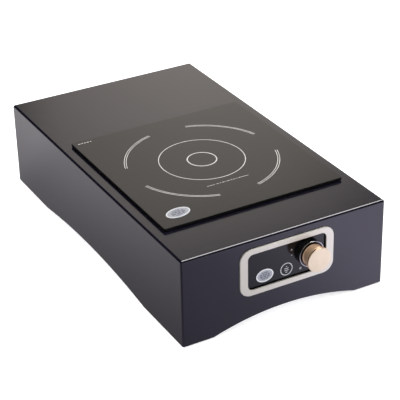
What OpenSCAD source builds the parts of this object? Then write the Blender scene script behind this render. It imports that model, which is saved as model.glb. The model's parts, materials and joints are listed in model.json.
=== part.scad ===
// Countertop induction hob: a long, low sheet-metal case with a raised glass-ceramic plate near its
// front and one rotary power control in a framed panel on the front wall.
// Millimetres. +X is right, +Y is towards the back, +Z is up, and the control is on the -Y side.
// Z = 0 is the worktop. The origin is the middle of the whole object's footprint, knob included.

/* [Case] */
// Width of the case
case_w = 325; // [305:1:345]
// Length of the case, front wall to back wall
case_len = 566; // [550:1:620]
// Height of the case's walls
case_h = 134; // [130:1:150]
// Sheet thickness of the case
sheet_t = 1.5; // [1:0.1:2]
// Radius of the case's upright corners
corner_r = 3; // [2.5:0.5:5]
// Height of the arch in the front and back bottom edges
front_arch_h = 17; // [8:1:17]
// Width of the arch in the front and back bottom edges
front_arch_w = 230; // [160:5:240]
// Height of the arch in the side bottom edges
side_arch_h = 11; // [6:1:17]
// Width of the arch in the side bottom edges
side_arch_w = 334; // [200:2:360]
// How far the feet lift the case off the worktop
foot_gap = 2; // [1:0.5:6]

/* [Glass] */
// Width of the glass plate
glass_w = 288; // [280:1:292]
// Length of the glass plate, front to back
glass_len = 302; // [290:1:306]
// Thickness of the glass plate
glass_t = 4; // [4:0.5:6]
// Height of the seal that lifts the glass off the case
seal_h = 1; // [1:0.5:3]
// Distance from the case's front wall to the glass's front edge
glass_front_gap = 79; // [70:0.5:82]
// Distance from the glass's middle back to the heating zone's middle
zone_offset = 3; // [0:0.5:6]

/* [Control panel] */
// Width of the steel bezel
bezel_w = 150; // [146:1:160]
// Height of the steel bezel
bezel_h = 73; // [70:1:76]
// How far the bezel stands out from the case
bezel_t = 2; // [1.5:0.1:3]
// Height of the panel's middle above the case's bottom edge
panel_z = 85; // [80:1:90]
// Distance from the panel's middle to the knob's axis, to the right
knob_dx = 36.4; // [32:0.1:38]
// Distance from the panel's middle to the knob's axis, upwards
knob_dz = 3; // [0:0.1:4]
// Radius of the knob's round face
knob_r = 18.3; // [17.5:0.1:19]
// How far the knob's face stands out from the case's front wall
knob_reach = 25.4; // [24:0.1:30]
// Radius of the fixed collar behind the knob
collar_r = 19.7; // [19.5:0.1:21]
// How far the collar's chrome ring stands out from the case's front wall
collar_reach = 6.6; // [6:0.1:6.8]

/* [Power parts] */
// Number of turns in the induction coil
coil_turns = 19; // [12:1:19]
// Radius of the coil's first turn
coil_r = 26; // [24:1:30]
// Distance between two turns of the coil
coil_pitch = 3.7; // [3.3:0.1:3.8]
// Width of the square fan frame
fan_w = 92; // [80:1:92]
// Number of blades on the fan's rotor
fan_blades = 7; // [5:1:9]
// Number of fins on the heat sink
sink_fins = 15; // [8:1:18]

/* [Hidden] */
$fn = 48;
EPS = 0.01;
CUT = 1;

// Case: planes measured from the case's own middle and bottom edge.
front_y = -case_len / 2;
back_y = case_len / 2;
half_w = case_w / 2;
inner_w = case_w - 2 * sheet_t;
base_z = front_arch_h + 1;
base_t = 1.2;
base_top = base_z + base_t;
base_w = inner_w - 1;
base_len = case_len - 2 * sheet_t - 1;
rail_w = 14;
rail_h = 12;
rail_t = 1.2;
rail_len = case_len - 60;
screw_rows = [-0.42, -0.16, 0.16, 0.42];
vent_rows = 6;
vent_cols = 3;
vent_w = 30;
vent_h = 4;
vent_dx = 38;
vent_dz = 10;
vent_z = 44;

// Screws: shank, pilot and clearance radii, and the radii of the heads.
shank_r = 1.6;
pilot_r = 1.65;
hole_r = 2.2;
head_r = 3.8;
small_head_r = 3.4;

// Feet.
foot_x = half_w - 34;
foot_y = case_len / 2 - 40;
foot_r = 12;
foot_top_r = 13.5;
foot_bore_r = 2.6;
foot_sink_r = 6;
foot_sink_h = 8;
foot_bolt_r = 2.5;

// Glass and heating zone.
glass_y = front_y + glass_front_gap + glass_len / 2;
zone_y = glass_y + zone_offset;
seal_inset = 2;
seal_w = 9;
seal_corner_r = 4;
glass_corner_r = 3;
cutout_w = glass_w - 2 * (seal_inset + seal_w);
cutout_len = glass_len - 2 * (seal_inset + seal_w);
glass_z = case_h + seal_h;

// Control panel: depths run back from the front wall's outer face.
panel_x = 1.2;
bezel_r = 17;
window_w = bezel_w - 24.6;
window_h = bezel_h - 17.2;
window_r = 8;
plate_t = 2;
plate_w = window_w + 6.4;
plate_h = window_h + 6;
bracket_t = 1.2;
bracket_back = sheet_t + plate_t + bracket_t;
stud_r = 1.5;
stud_x = plate_w / 2 + 3;
stud_z = 22;
stud_len = bracket_back + 3.6;
nut_h = 2.4;
knob_x = panel_x + knob_dx;
knob_z = panel_z + knob_dz;
board_depth = 20;
board_t = 1.6;
board_w = 118;
board_h = 50;
spacer_x = board_w / 2 - 5;
spacer_z = board_h / 2 - 5;
shaft_r = 3;
bush_r = 4.5;
run_gap = 0.05;
seat_gap = 0.02;
ring_w = 1.1;
collar_bore_r = 9;
knob_rim_r = knob_r - 2.2;
knob_back = collar_reach + 0.5;
knob_bottom = 5;
set_screw_r = 1.5;
set_screw_reach = collar_reach + 8;
switch_w = 18;
switch_depth = 9;
lens_dx = 22.9;
lens_dz = -19.3;
lens_r = 2;

// Coil stack, from the glass down.
mica_t = 0.5;
mica_z = glass_z - mica_t - 0.2;
wire_r = 1.5;
coil_z = mica_z - wire_r - 0.2;
coil_out_r = coil_r + coil_turns * coil_pitch + 3;
carrier_t = 4;
carrier_z = coil_z - wire_r - carrier_t;
ferrite_h = 5;
ferrite_w = 14;
bridge_z = 100;
bridge_t = 1.5;
bridge_w = 210;
bridge_len = 190;
bridge_screw_x = bridge_w / 2 + 7;
bridge_screw_y = bridge_len / 2 - 17;
spring_r = 5;
spring_wire = 0.8;
spring_at = 62;
spring_turns = 5;
spring_seat_h = 4;
spring_seat_r = 4;
bridge_foot_w = 13;

// Power electronics, in the space behind the coil.
pcb_t = 1.6;
pcb_z = base_top + 10;
pcb_hole_at = 6;
pcb_hole_r = 1.7;
post_r = 3.5;
power_x = 66;
power_y = 214;
power_w = 164;
power_len = 104;
sink_w = 84;
sink_len = 92;
sink_h = 48;
sink_base_t = 6;
sink_z = pcb_z + pcb_t + 6;
sink_x = power_x - 30;
fan_h = 25;
fan_x = sink_x;
fan_y = 96;
fan_hole_r = fan_w / 2 - 3;
fan_screw_at = fan_w / 2 - 5;
fan_hub_r = 18;
fan_spider_r = 17;
spindle_r = 1.5;
lead_r = 2;
lead_z = carrier_z - 12;
lead_dx = 14;
terminal_w = 9;
terminal_h = 10;
filter_x = -90;
filter_y = 190;
filter_w = 104;
filter_len = 92;

// Appliance inlet in the back wall.
inlet_x = -96;
inlet_z = 62;
inlet_w = 28;
inlet_h = 20;
inlet_depth = 18;
inlet_wall = 1.6;
inlet_screw_at = 22;
inlet_flange_w = 54;
inlet_flange_t = 3;
sleeve_r = 1.4;
sleeve_dx = 7;

// Flat cable that runs inside the case.
cable_w = 12;
cable_t = 1.2;
cable_z = 40;

// Puts geometry given from the case's own middle and bottom edge into the shared frame.
module place() {
    translate([0, knob_reach / 2, foot_gap]) children();
}

// Upright rounded rectangle outline, centred.
module round_rect(w, h, r) {
    union() {
        square([w - 2 * r, h], center = true);
        square([w, h - 2 * r], center = true);
        for (x = [-1, 1], y = [-1, 1])
            translate([x * (w / 2 - r), y * (h / 2 - r)]) circle(r = r);
    }
}

// Flat plate standing on z = 0, centred in x and y.
module slab(w, len, t) {
    translate([-w / 2, -len / 2, 0]) cube([w, len, t]);
}

// Plate parallel to the front wall. Its outline is drawn in x and z, and depth runs back.
module wall_plate(depth, t) {
    translate([0, front_y + depth + t, 0]) rotate([90, 0, 0]) linear_extrude(t) children();
}

// Round bar along y, at x and z on the front wall, from one depth to another.
module wall_rod(x, z, from, to, r) {
    translate([x, front_y + to, z]) rotate([90, 0, 0]) cylinder(r = r, h = to - from);
}

// Outline of the arch of a given chord and rise above the line z = 0, with clearance below it.
module arch_outline(chord, rise) {
    r = (chord * chord / 4 + rise * rise) / (2 * rise);
    intersection() {
        translate([0, rise - r]) circle(r = r, $fn = 360);
        translate([-chord, -2]) square([2 * chord, rise + 4]);
    }
}

// Slot with round ends, long in x, cut through along y.
module slot_along_x(len, h, run) {
    rotate([90, 0, 0])
        translate([0, 0, -run / 2])
            linear_extrude(run) round_rect(len, h, h / 2 - EPS);
}

// Places children at the four feet, or at one.
module at_foot(sx, sy) {
    translate([sx * foot_x, sy * foot_y, 0]) children();
}

module case_shell() {
    color([0.09, 0.085, 0.1]) place() difference() {
        linear_extrude(case_h) round_rect(case_w, case_len, corner_r);
        translate([0, 0, -CUT])
            linear_extrude(case_h - sheet_t + CUT)
                round_rect(inner_w, case_len - 2 * sheet_t, corner_r - sheet_t);
        translate([0, back_y + CUT, 0]) rotate([90, 0, 0])
            linear_extrude(case_len + 2 * CUT) arch_outline(front_arch_w, front_arch_h);
        translate([-half_w - CUT, 0, 0]) rotate([90, 0, 90])
            linear_extrude(case_w + 2 * CUT) arch_outline(side_arch_w, side_arch_h);
        translate([0, glass_y, case_h - sheet_t - CUT])
            linear_extrude(sheet_t + 2 * CUT) round_rect(cutout_w, cutout_len, seal_corner_r);
        wall_plate(-CUT, sheet_t + 2 * CUT)
            translate([panel_x, panel_z]) round_rect(window_w + 2, window_h + 2, window_r + 1);
        for (x = [-1, 1], z = [-1, 1])
            wall_rod(panel_x + x * stud_x, panel_z + z * stud_z, -CUT, sheet_t + CUT, stud_r + 0.3);
        translate([inlet_x, back_y, inlet_z])
            inlet_mouth(inlet_w + 2 * inlet_wall + 0.6, inlet_h + 2 * inlet_wall + 0.6);
        for (x = [-1, 1])
            translate([inlet_x + x * inlet_screw_at, back_y + EPS, inlet_z])
                rotate([90, 0, 0]) cylinder(r1 = 3.2, r2 = 1.8, h = sheet_t + 2 * EPS);
        back_vents();
    }
}

// Square-cornered hole through the back wall for the inlet's mouth.
module inlet_mouth(w, h) {
    translate([-w / 2, -sheet_t - CUT, -h / 2]) cube([w, sheet_t + 2 * CUT, h]);
}

// Exhaust slots in the back wall, behind the heat sink.
module back_vents() {
    for (row = [0:vent_rows - 1], col = [0:vent_cols - 1])
        translate([vent_x(col), back_y - sheet_t / 2, vent_z + row * vent_dz])
            slot_along_x(vent_w, vent_h, sheet_t + 2 * CUT);
}

function vent_x(col) = power_x + (col - (vent_cols - 1) / 2) * vent_dx;

module base_plate() {
    color([0.62, 0.63, 0.64]) place() difference() {
        translate([0, 0, base_z]) slab(base_w, base_len, base_t);
        for (s = [-1, 1], k = screw_rows)
            translate([s * (base_w - rail_w) / 2, k * case_len, base_z - CUT])
                cylinder(r = hole_r, h = base_t + 2 * CUT);
        for (sx = [-1, 1], sy = [-1, 1])
            at_foot(sx, sy) translate([0, 0, base_z - CUT])
                cylinder(r = foot_bore_r, h = base_t + 2 * CUT);
        translate([fan_x, fan_y, base_z - CUT]) intake_slots();
        for (x = [-1, 1], y = [-1, 1]) {
            translate([fan_x + x * fan_screw_at, fan_y + y * fan_screw_at, base_z - CUT])
                cylinder(r = hole_r, h = base_t + 2 * CUT);
            translate([x * bridge_screw_x, zone_y + y * bridge_screw_y, base_z - CUT])
                cylinder(r = shank_r, h = base_t + 2 * CUT);
        }
    }
}

// Rings of curved slots that let the fan draw air through the base plate.
module intake_slots() {
    for (r = [15:9:33])
        difference() {
            cylinder(r = r + 5, h = base_t + 2 * CUT);
            translate([0, 0, -CUT]) cylinder(r = r, h = base_t + 4 * CUT);
            for (a = [0:60:150])
                rotate([0, 0, a + 15]) translate([-60, -3, -CUT]) cube([120, 6, base_t + 4 * CUT]);
        }
}

// One side rail: an angle strip spot-welded inside a side wall, above the base plate.
module rail(side) {
    color([0.6, 0.61, 0.62]) place() scale([side, 1, 1]) difference() {
        union() {
            translate([inner_w / 2 - rail_t, -rail_len / 2, base_top])
                cube([rail_t, rail_len, rail_h]);
            translate([inner_w / 2 - rail_w, -rail_len / 2, base_top])
                cube([rail_w, rail_len, rail_t]);
        }
        for (k = screw_rows)
            translate([(base_w - rail_w) / 2, k * case_len, base_top - CUT])
                cylinder(r = pilot_r, h = rail_t + 2 * CUT);
    }
}

module rail_left() {
    rail(-1);
}

module rail_right() {
    rail(1);
}

// Pan-head screw with its head on z = 0 and its shank going up.
module screw(r, len, top_r, top_h) {
    translate([0, 0, -top_h]) difference() {
        cylinder(r = top_r, h = top_h);
        for (a = [0, 90])
            rotate([0, 0, a])
                translate([-top_r * 0.55, -0.4, -EPS]) cube([top_r * 1.1, 0.8, top_h * 0.5]);
    }
    cylinder(r = r, h = len);
}

module base_screws() {
    color([0.75, 0.75, 0.77]) place()
        for (s = [-1, 1], k = screw_rows)
            translate([s * (base_w - rail_w) / 2, k * case_len, base_z])
                screw(shank_r, 8, head_r, 2.2);
}

// One rubber foot: a tapered plug that hangs from the base plate.
module foot(sx, sy) {
    color([0.07, 0.07, 0.07]) place() at_foot(sx, sy) translate([0, 0, -foot_gap])
        rotate_extrude() polygon([
            [foot_sink_r, 0],
            [foot_r - 1, 0],
            [foot_r, 1],
            [foot_top_r, base_z + foot_gap],
            [foot_bore_r, base_z + foot_gap],
            [foot_bore_r, foot_sink_h],
            [foot_sink_r, foot_sink_h]
        ]);
}

module foot_front_left() {
    foot(-1, -1);
}

module foot_front_right() {
    foot(1, -1);
}

module foot_back_left() {
    foot(-1, 1);
}

module foot_back_right() {
    foot(1, 1);
}

module foot_screws() {
    color([0.75, 0.75, 0.77]) place()
        for (sx = [-1, 1], sy = [-1, 1])
            at_foot(sx, sy) {
                translate([0, 0, foot_sink_h - foot_gap])
                    screw(foot_bolt_r, base_top - foot_sink_h + foot_gap + 6, 5, 2.6);
                translate([0, 0, base_top]) difference() {
                    cylinder(r = 4.6, h = 4, $fn = 6);
                    translate([0, 0, -CUT]) cylinder(r = foot_bolt_r, h = 4 + 2 * CUT);
                }
            }
}

module glass_seal() {
    color([0.05, 0.05, 0.05]) place() translate([0, glass_y, case_h]) difference() {
        linear_extrude(seal_h)
            round_rect(glass_w - 2 * seal_inset, glass_len - 2 * seal_inset, seal_corner_r);
        translate([0, 0, -CUT]) linear_extrude(seal_h + 2 * CUT)
            round_rect(cutout_w, cutout_len, seal_corner_r);
    }
}

module glass_top() {
    color([0.06, 0.06, 0.065]) place() translate([0, glass_y, glass_z])
        linear_extrude(glass_t) round_rect(glass_w, glass_len, glass_corner_r);
}

module control_bezel() {
    color([0.78, 0.76, 0.73]) place() {
        wall_plate(-bezel_t, bezel_t) translate([panel_x, panel_z]) difference() {
            round_rect(bezel_w, bezel_h, bezel_r);
            round_rect(window_w, window_h, window_r);
        }
        for (x = [-1, 1], z = [-1, 1])
            wall_rod(panel_x + x * stud_x, panel_z + z * stud_z, -EPS, stud_len, stud_r);
    }
}

module bezel_nuts() {
    color([0.75, 0.75, 0.77]) place()
        for (x = [-1, 1], z = [-1, 1])
            translate([panel_x + x * stud_x, front_y + bracket_back + nut_h, panel_z + z * stud_z])
                rotate([90, 0, 0]) difference() {
                    cylinder(r = 3.1, h = nut_h, $fn = 6);
                    translate([0, 0, -CUT]) cylinder(r = stud_r, h = nut_h + 2 * CUT);
                }
}

module panel_plate() {
    color([0.04, 0.04, 0.045]) place() difference() {
        wall_plate(sheet_t, plate_t) translate([panel_x, panel_z]) round_rect(plate_w, plate_h, 4);
        wall_rod(knob_x, knob_z, sheet_t - CUT, sheet_t + plate_t + CUT, bush_r + 0.2);
        wall_rod(panel_x + lens_dx, panel_z + lens_dz, 0, bracket_back, lens_r + seat_gap);
    }
}

module panel_bracket() {
    color([0.6, 0.61, 0.62]) place() difference() {
        wall_plate(sheet_t + plate_t, bracket_t)
            translate([panel_x, panel_z]) round_rect(bezel_w - 4, bezel_h, 4);
        wall_rod(knob_x, knob_z, 0, 10, bush_r + 0.2);
        wall_rod(panel_x + lens_dx, panel_z + lens_dz, 0, 10, lens_r + 0.6);
        for (x = [-1, 1], z = [-1, 1])
            wall_rod(panel_x + x * stud_x, panel_z + z * stud_z, 0, 10, stud_r + 0.3);
        for (x = [-1, 1], z = [-1, 1])
            wall_rod(panel_x + x * spacer_x, panel_z + z * spacer_z, 0, 10, 1.6);
    }
}

// Fixed black collar that hides the control's nut and guides the eye to the knob.
module knob_collar() {
    color([0.04, 0.04, 0.04]) place() difference() {
        wall_rod(knob_x, knob_z, ring_w - collar_reach, sheet_t, collar_r);
        wall_rod(knob_x, knob_z, -collar_reach, sheet_t + CUT, collar_bore_r);
    }
}

// Chrome ring pressed onto the collar's front edge.
module collar_ring() {
    color([0.85, 0.85, 0.86]) place() difference() {
        wall_rod(knob_x, knob_z, -collar_reach, ring_w - collar_reach, collar_r);
        wall_rod(knob_x, knob_z, -collar_reach - CUT, ring_w + CUT - collar_reach, collar_r - ring_w);
    }
}

// Turned metal knob: a back rim, a groove, a barrel that widens to the front, a second groove and a
// thin flange with a flat face. It is bored for the shaft.
module control_knob() {
    color([0.86, 0.76, 0.66]) place() difference() {
        translate([knob_x, front_y, knob_z]) rotate([90, 0, 0]) rotate_extrude($fn = 96) polygon([
            [0, knob_back],
            [knob_rim_r, knob_back],
            [knob_rim_r, knob_back + 1.6],
            [knob_rim_r - 0.8, knob_back + 2],
            [knob_rim_r - 0.8, knob_back + 2.8],
            [knob_rim_r, knob_back + 3.2],
            [knob_r - 0.2, knob_reach - 3.8],
            [knob_r - 0.6, knob_reach - 3.4],
            [knob_r - 2, knob_reach - 3.3],
            [knob_r - 2, knob_reach - 1.7],
            [knob_r, knob_reach - 1.5],
            [knob_r, knob_reach - 0.5],
            [knob_r - 0.5, knob_reach],
            [0, knob_reach]
        ]);
        wall_rod(knob_x, knob_z, knob_bottom - seat_gap - knob_reach, 0, shaft_r + seat_gap);
        translate([knob_x, front_y - set_screw_reach, knob_z - knob_r - CUT])
            cylinder(r = set_screw_r + seat_gap, h = knob_r);
    }
}

module knob_set_screw() {
    screw_len = knob_rim_r - 2.2 - shaft_r;
    color([0.3, 0.3, 0.32]) place()
        translate([knob_x, front_y - set_screw_reach, knob_z - shaft_r - screw_len])
            difference() {
                cylinder(r = set_screw_r, h = screw_len);
                translate([0, 0, -EPS]) cylinder(r = 0.8, h = 1.6, $fn = 6);
            }
}

module status_lens() {
    color([0.85, 0.87, 0.9]) place() {
        wall_rod(panel_x + lens_dx, panel_z + lens_dz, sheet_t - 0.2, bracket_back, lens_r);
        wall_rod(panel_x + lens_dx, panel_z + lens_dz, bracket_back, board_depth - 3, lens_r + 0.8);
    }
}

module control_body() {
    color([0.1, 0.18, 0.3]) place() difference() {
        translate([knob_x - switch_w / 2, front_y + switch_depth, knob_z - switch_w / 2])
            cube([switch_w, board_depth - switch_depth, switch_w]);
        wall_rod(knob_x, knob_z, switch_depth - CUT, board_depth - 3.5, shaft_r + run_gap);
    }
}

// Threaded bush that carries the shaft through the panel.
module control_bush() {
    color([0.78, 0.7, 0.4]) place() difference() {
        wall_rod(knob_x, knob_z, -3, switch_depth, bush_r);
        wall_rod(knob_x, knob_z, -3 - CUT, switch_depth + CUT, shaft_r + run_gap);
    }
}

module control_nut() {
    color([0.75, 0.75, 0.77]) place() difference() {
        translate([knob_x, front_y + sheet_t, knob_z])
            rotate([90, 0, 0]) cylinder(r = 7, h = nut_h, $fn = 6);
        wall_rod(knob_x, knob_z, -nut_h - CUT, sheet_t + CUT, bush_r);
    }
}

module control_shaft() {
    color([0.7, 0.71, 0.73]) place()
        wall_rod(knob_x, knob_z, knob_bottom - knob_reach, board_depth - 4, shaft_r);
}

module control_board() {
    color([0.05, 0.3, 0.14]) place() {
        difference() {
            translate([panel_x - board_w / 2, front_y + board_depth, panel_z - board_h / 2])
                cube([board_w, board_t, board_h]);
            for (x = [-1, 1], z = [-1, 1])
                wall_rod(panel_x + x * spacer_x, panel_z + z * spacer_z, 18, 24, 1.6);
        }
        translate([panel_x - 44, front_y + board_depth - 4, panel_z - 4]) cube([26, 4, 14]);
        translate([panel_x - 8, front_y + board_depth - 3, panel_z + 8]) cube([14, 3, 10]);
        wall_rod(panel_x + lens_dx, panel_z + lens_dz, board_depth - 3, board_depth, 2.4);
        translate([panel_x - 30, front_y + board_depth + board_t, panel_z - 18]) cube([24, 7, 8]);
    }
}

module board_spacers() {
    color([0.8, 0.78, 0.7]) place() difference() {
        for (x = [-1, 1], z = [-1, 1])
            wall_rod(panel_x + x * spacer_x, panel_z + z * spacer_z, bracket_back, board_depth, 3);
        for (x = [-1, 1], z = [-1, 1])
            wall_rod(panel_x + x * spacer_x, panel_z + z * spacer_z, 0, 30, 1.4);
    }
}

module control_board_screws() {
    color([0.75, 0.75, 0.77]) place()
        for (x = [-1, 1], z = [-1, 1])
            translate([panel_x + x * spacer_x, front_y + board_depth + board_t,
                    panel_z + z * spacer_z])
                rotate([90, 0, 0]) screw(1.4, 9, 2.6, 1.8);
}

// Flat spiral of litz wire, built from half turns on two centres one half pitch apart.
module coil_winding() {
    color([0.72, 0.36, 0.18]) place() translate([0, zone_y, coil_z]) {
        rotate_extrude(angle = 180)
            for (i = [0:coil_turns - 1])
                translate([coil_r + i * coil_pitch, 0]) circle(r = wire_r, $fn = 16);
        translate([coil_pitch / 2, 0, 0]) rotate([0, 0, 180]) rotate_extrude(angle = 180)
            for (i = [0:coil_turns - 1])
                translate([coil_r + (i + 0.5) * coil_pitch, 0]) circle(r = wire_r, $fn = 16);
    }
}

module coil_carrier() {
    color([0.82, 0.8, 0.74]) place() translate([0, zone_y, carrier_z]) difference() {
        union() {
            cylinder(r = coil_out_r, h = carrier_t - 0.2);
            for (a = [45:90:315])
                rotate([0, 0, a]) translate([spring_at, 0, -spring_seat_h])
                    cylinder(r = spring_seat_r, h = spring_seat_h + 1);
        }
        translate([0, 0, -CUT]) cylinder(r = 14, h = carrier_t + 2 * CUT);
        for (a = [22.5:45:350])
            rotate([0, 0, a]) translate([34, -5, -CUT])
                cube([coil_out_r - 44, 10, carrier_t + 2 * CUT]);
    }
}

module ferrite_bars() {
    color([0.2, 0.2, 0.22]) place() translate([0, zone_y, carrier_z - ferrite_h])
        for (a = [0:45:315])
            rotate([0, 0, a])
                translate([ferrite_start(a), -ferrite_w / 2, 0])
                    cube([coil_out_r - ferrite_start(a) - 2, ferrite_w, ferrite_h - 0.1]);
}

// Bars on the spring diagonals start outside the springs, and the others reach the middle.
function ferrite_start(a) = a % 90 == 0 ? 26 : spring_at + 8;

module mica_sheet() {
    color([0.75, 0.7, 0.6]) place() translate([0, zone_y, mica_z]) difference() {
        cylinder(r = coil_out_r - 1, h = mica_t);
        translate([0, 0, -CUT]) cylinder(r = 8, h = mica_t + 2 * CUT);
    }
}

// Sensor bead in its soft holder, which stands on the bridge and touches the glass.
module temperature_sensor() {
    color([0.85, 0.45, 0.3]) place() translate([0, zone_y, 0]) {
        translate([0, 0, bridge_z + bridge_t])
            cylinder(r = 6, h = mica_z - 6 - bridge_z - bridge_t);
        translate([0, 0, mica_z - 6]) cylinder(r = 4, h = glass_z - mica_z + 5.9);
    }
}

// Folded sheet bridge that carries the coil over the base plate.
module coil_bridge() {
    color([0.68, 0.69, 0.7]) place() translate([0, zone_y, 0]) difference() {
        union() {
            translate([0, 0, bridge_z]) slab(bridge_w, bridge_len, bridge_t);
            for (s = [-1, 1])
                translate([s * (bridge_w - bridge_t) / 2, 0, base_top])
                    slab(bridge_t, bridge_len, bridge_z - base_top + EPS);
            for (s = [-1, 1])
                translate([s * (bridge_w + bridge_foot_w - 1) / 2, 0, base_top])
                    slab(bridge_foot_w, bridge_len, bridge_t);
        }
        translate([0, 0, base_top + 25])
            cube([bridge_w + 2, bridge_len - 70, 50], center = true);
        for (x = [-1, 1], y = [-1, 1])
            translate([x * bridge_screw_x, y * bridge_screw_y, base_top - CUT])
                cylinder(r = pilot_r, h = bridge_t + 2 * CUT);
        for (a = [0:90:270])
            rotate([0, 0, a + 30]) translate([spring_at - 20, 0, bridge_z - CUT])
                cylinder(r = 9, h = bridge_t + 2 * CUT);
    }
}

module bridge_screws() {
    color([0.75, 0.75, 0.77]) place() translate([0, zone_y, base_top + bridge_t])
        for (x = [-1, 1], y = [-1, 1])
            translate([x * bridge_screw_x, y * bridge_screw_y, 0]) rotate([180, 0, 0])
                screw(shank_r, bridge_t + base_t - 0.2, small_head_r, 2);
}

// Four springs that press the coil up against the glass.
module coil_springs() {
    low = bridge_z + bridge_t;
    rise = carrier_z - spring_seat_h - low;
    steps = 10 * spring_turns;
    color([0.7, 0.71, 0.73]) place() translate([0, zone_y, low])
        for (a = [45:90:315])
            rotate([0, 0, a]) translate([spring_at, 0, 0])
                linear_extrude(rise, twist = -360 * spring_turns, slices = steps, $fn = 6)
                    translate([spring_r, 0]) circle(r = spring_wire);
}

// Two sleeved leads from the coil down to the power board's terminals.
module coil_leads() {
    color([0.72, 0.6, 0.35]) place()
        for (s = [0, 1])
            translate([lead_x(s), 0, 0]) {
                translate([0, zone_y + 60, lead_z]) rotate([-90, 0, 0])
                    cylinder(r = lead_r, h = lead_y() - zone_y - 60);
                translate([0, lead_y(), pcb_z + pcb_t + terminal_h])
                    cylinder(r = lead_r, h = lead_z - pcb_z - pcb_t - terminal_h);
                translate([0, lead_y(), lead_z]) sphere(r = lead_r);
            }
}

function lead_x(s) = power_x + 52 + s * lead_dx;

function lead_y() = power_y - 34;

module coil_terminals() {
    color([0.78, 0.7, 0.4]) place()
        for (s = [0, 1])
            translate([lead_x(s), lead_y(), pcb_z + pcb_t])
                slab(terminal_w, terminal_w, terminal_h);
}

// Circuit board with a hole near each corner.
module drilled_board(w, len) {
    difference() {
        slab(w, len, pcb_t);
        for (x = [-1, 1], y = [-1, 1])
            translate([x * (w / 2 - pcb_hole_at), y * (len / 2 - pcb_hole_at), -CUT])
                cylinder(r = pcb_hole_r, h = pcb_t + 2 * CUT);
    }
}

module power_board() {
    color([0.05, 0.3, 0.14]) place() translate([power_x, power_y, pcb_z])
        drilled_board(power_w, power_len);
}

// Stepped posts that hold a board off the base plate by its corners.
module board_posts(x0, y0, w, len) {
    for (x = [-1, 1], y = [-1, 1])
        translate([x0 + x * (w / 2 - pcb_hole_at), y0 + y * (len / 2 - pcb_hole_at), base_top]) {
            cylinder(r = post_r, h = pcb_z - base_top);
            cylinder(r = shank_r, h = pcb_z - base_top + pcb_t);
            translate([0, 0, pcb_z - base_top + pcb_t]) cylinder(r = 2.6, h = 1.6);
        }
}

module power_board_posts() {
    color([0.9, 0.9, 0.88]) place() board_posts(power_x, power_y, power_w, power_len);
}

// Extruded heat sink: a thick web with upright fins that run front to back.
module heat_sink() {
    step = (sink_w - 2) / (sink_fins - 1);
    color([0.7, 0.71, 0.73]) place() translate([sink_x, power_y, sink_z]) {
        slab(sink_w, sink_len, sink_base_t);
        for (i = [0:sink_fins - 1])
            translate([-sink_w / 2 + 1 + i * step, 0, sink_base_t - EPS])
                slab(1.8, sink_len, sink_h - sink_base_t);
    }
}

module power_transistors() {
    color([0.08, 0.08, 0.09]) place()
        for (i = [-1, 0, 1])
            translate([sink_x + i * 24, power_y, pcb_z + pcb_t + 0.6]) slab(16, 20, 5.2);
}

module resonant_capacitors() {
    color([0.85, 0.75, 0.2]) place()
        for (i = [0, 1])
            translate([power_x + 58, power_y - 2 + i * 24, pcb_z + pcb_t]) slab(34, 16, 26);
}

module fan_frame() {
    color([0.06, 0.06, 0.06]) place() translate([fan_x, fan_y, base_top]) difference() {
        union() {
            difference() {
                slab(fan_w, fan_w, fan_h);
                translate([0, 0, -CUT]) cylinder(r = fan_hole_r, h = fan_h + 2 * CUT);
            }
            cylinder(r = fan_spider_r, h = 3);
            for (a = [0:90:270])
                rotate([0, 0, a + 45]) translate([15, -2.5, 0]) cube([fan_hole_r - 14, 5, 3]);
            cylinder(r = 6, h = 12);
        }
        translate([0, 0, -CUT]) cylinder(r = spindle_r + run_gap, h = 20);
        for (x = [-1, 1], y = [-1, 1])
            translate([x * fan_screw_at, y * fan_screw_at, -CUT])
                cylinder(r = 1.9, h = fan_h + 2 * CUT);
    }
}

// Hollow hub with tilted blades, and the spindle that runs in the frame's bearing.
module fan_rotor() {
    color([0.12, 0.12, 0.13]) place() translate([fan_x, fan_y, base_top]) {
        difference() {
            translate([0, 0, 4]) cylinder(r = fan_hub_r, h = fan_h - 6);
            translate([0, 0, 3]) cylinder(r = fan_hub_r - 2.5, h = fan_h - 8);
        }
        translate([0, 0, 1]) cylinder(r = spindle_r, h = fan_h - 4);
        intersection() {
            difference() {
                translate([0, 0, 4.5]) cylinder(r = fan_hole_r - 1.5, h = fan_h - 7);
                translate([0, 0, 3]) cylinder(r = fan_hub_r - 0.5, h = fan_h);
            }
            for (i = [0:fan_blades - 1])
                rotate([0, 0, i * 360 / fan_blades])
                    translate([0, 0, fan_h / 2 + 1]) rotate([38, 0, 0])
                        translate([14, -16, -0.8]) cube([fan_hole_r, 32, 1.6]);
        }
    }
}

module fan_screws() {
    color([0.75, 0.75, 0.77]) place()
        for (x = [-1, 1], y = [-1, 1])
            translate([fan_x + x * fan_screw_at, fan_y + y * fan_screw_at, base_z])
                screw(1.8, 10, small_head_r, 2);
}

// Plastic hood that turns the fan's air back through the heat sink's fins.
module air_duct() {
    duct_z = base_top + fan_h;
    duct_top = sink_z + sink_h + 4;
    sink_front = power_y - sink_len / 2;
    color([0.15, 0.15, 0.16]) place() difference() {
        translate([fan_x - fan_w / 2, fan_y - fan_w / 2, duct_z])
            cube([fan_w, sink_front - fan_y + fan_w / 2 - 1, duct_top - duct_z]);
        translate([fan_x - fan_w / 2 + 2, fan_y - fan_w / 2 + 2, duct_z - 1])
            cube([fan_w - 4, sink_front - fan_y + fan_w / 2, duct_top - duct_z - 1]);
    }
}

module filter_board() {
    color([0.05, 0.3, 0.14]) place() translate([filter_x, filter_y, pcb_z])
        drilled_board(filter_w, filter_len);
}

module filter_board_posts() {
    color([0.9, 0.9, 0.88]) place() board_posts(filter_x, filter_y, filter_w, filter_len);
}

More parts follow.
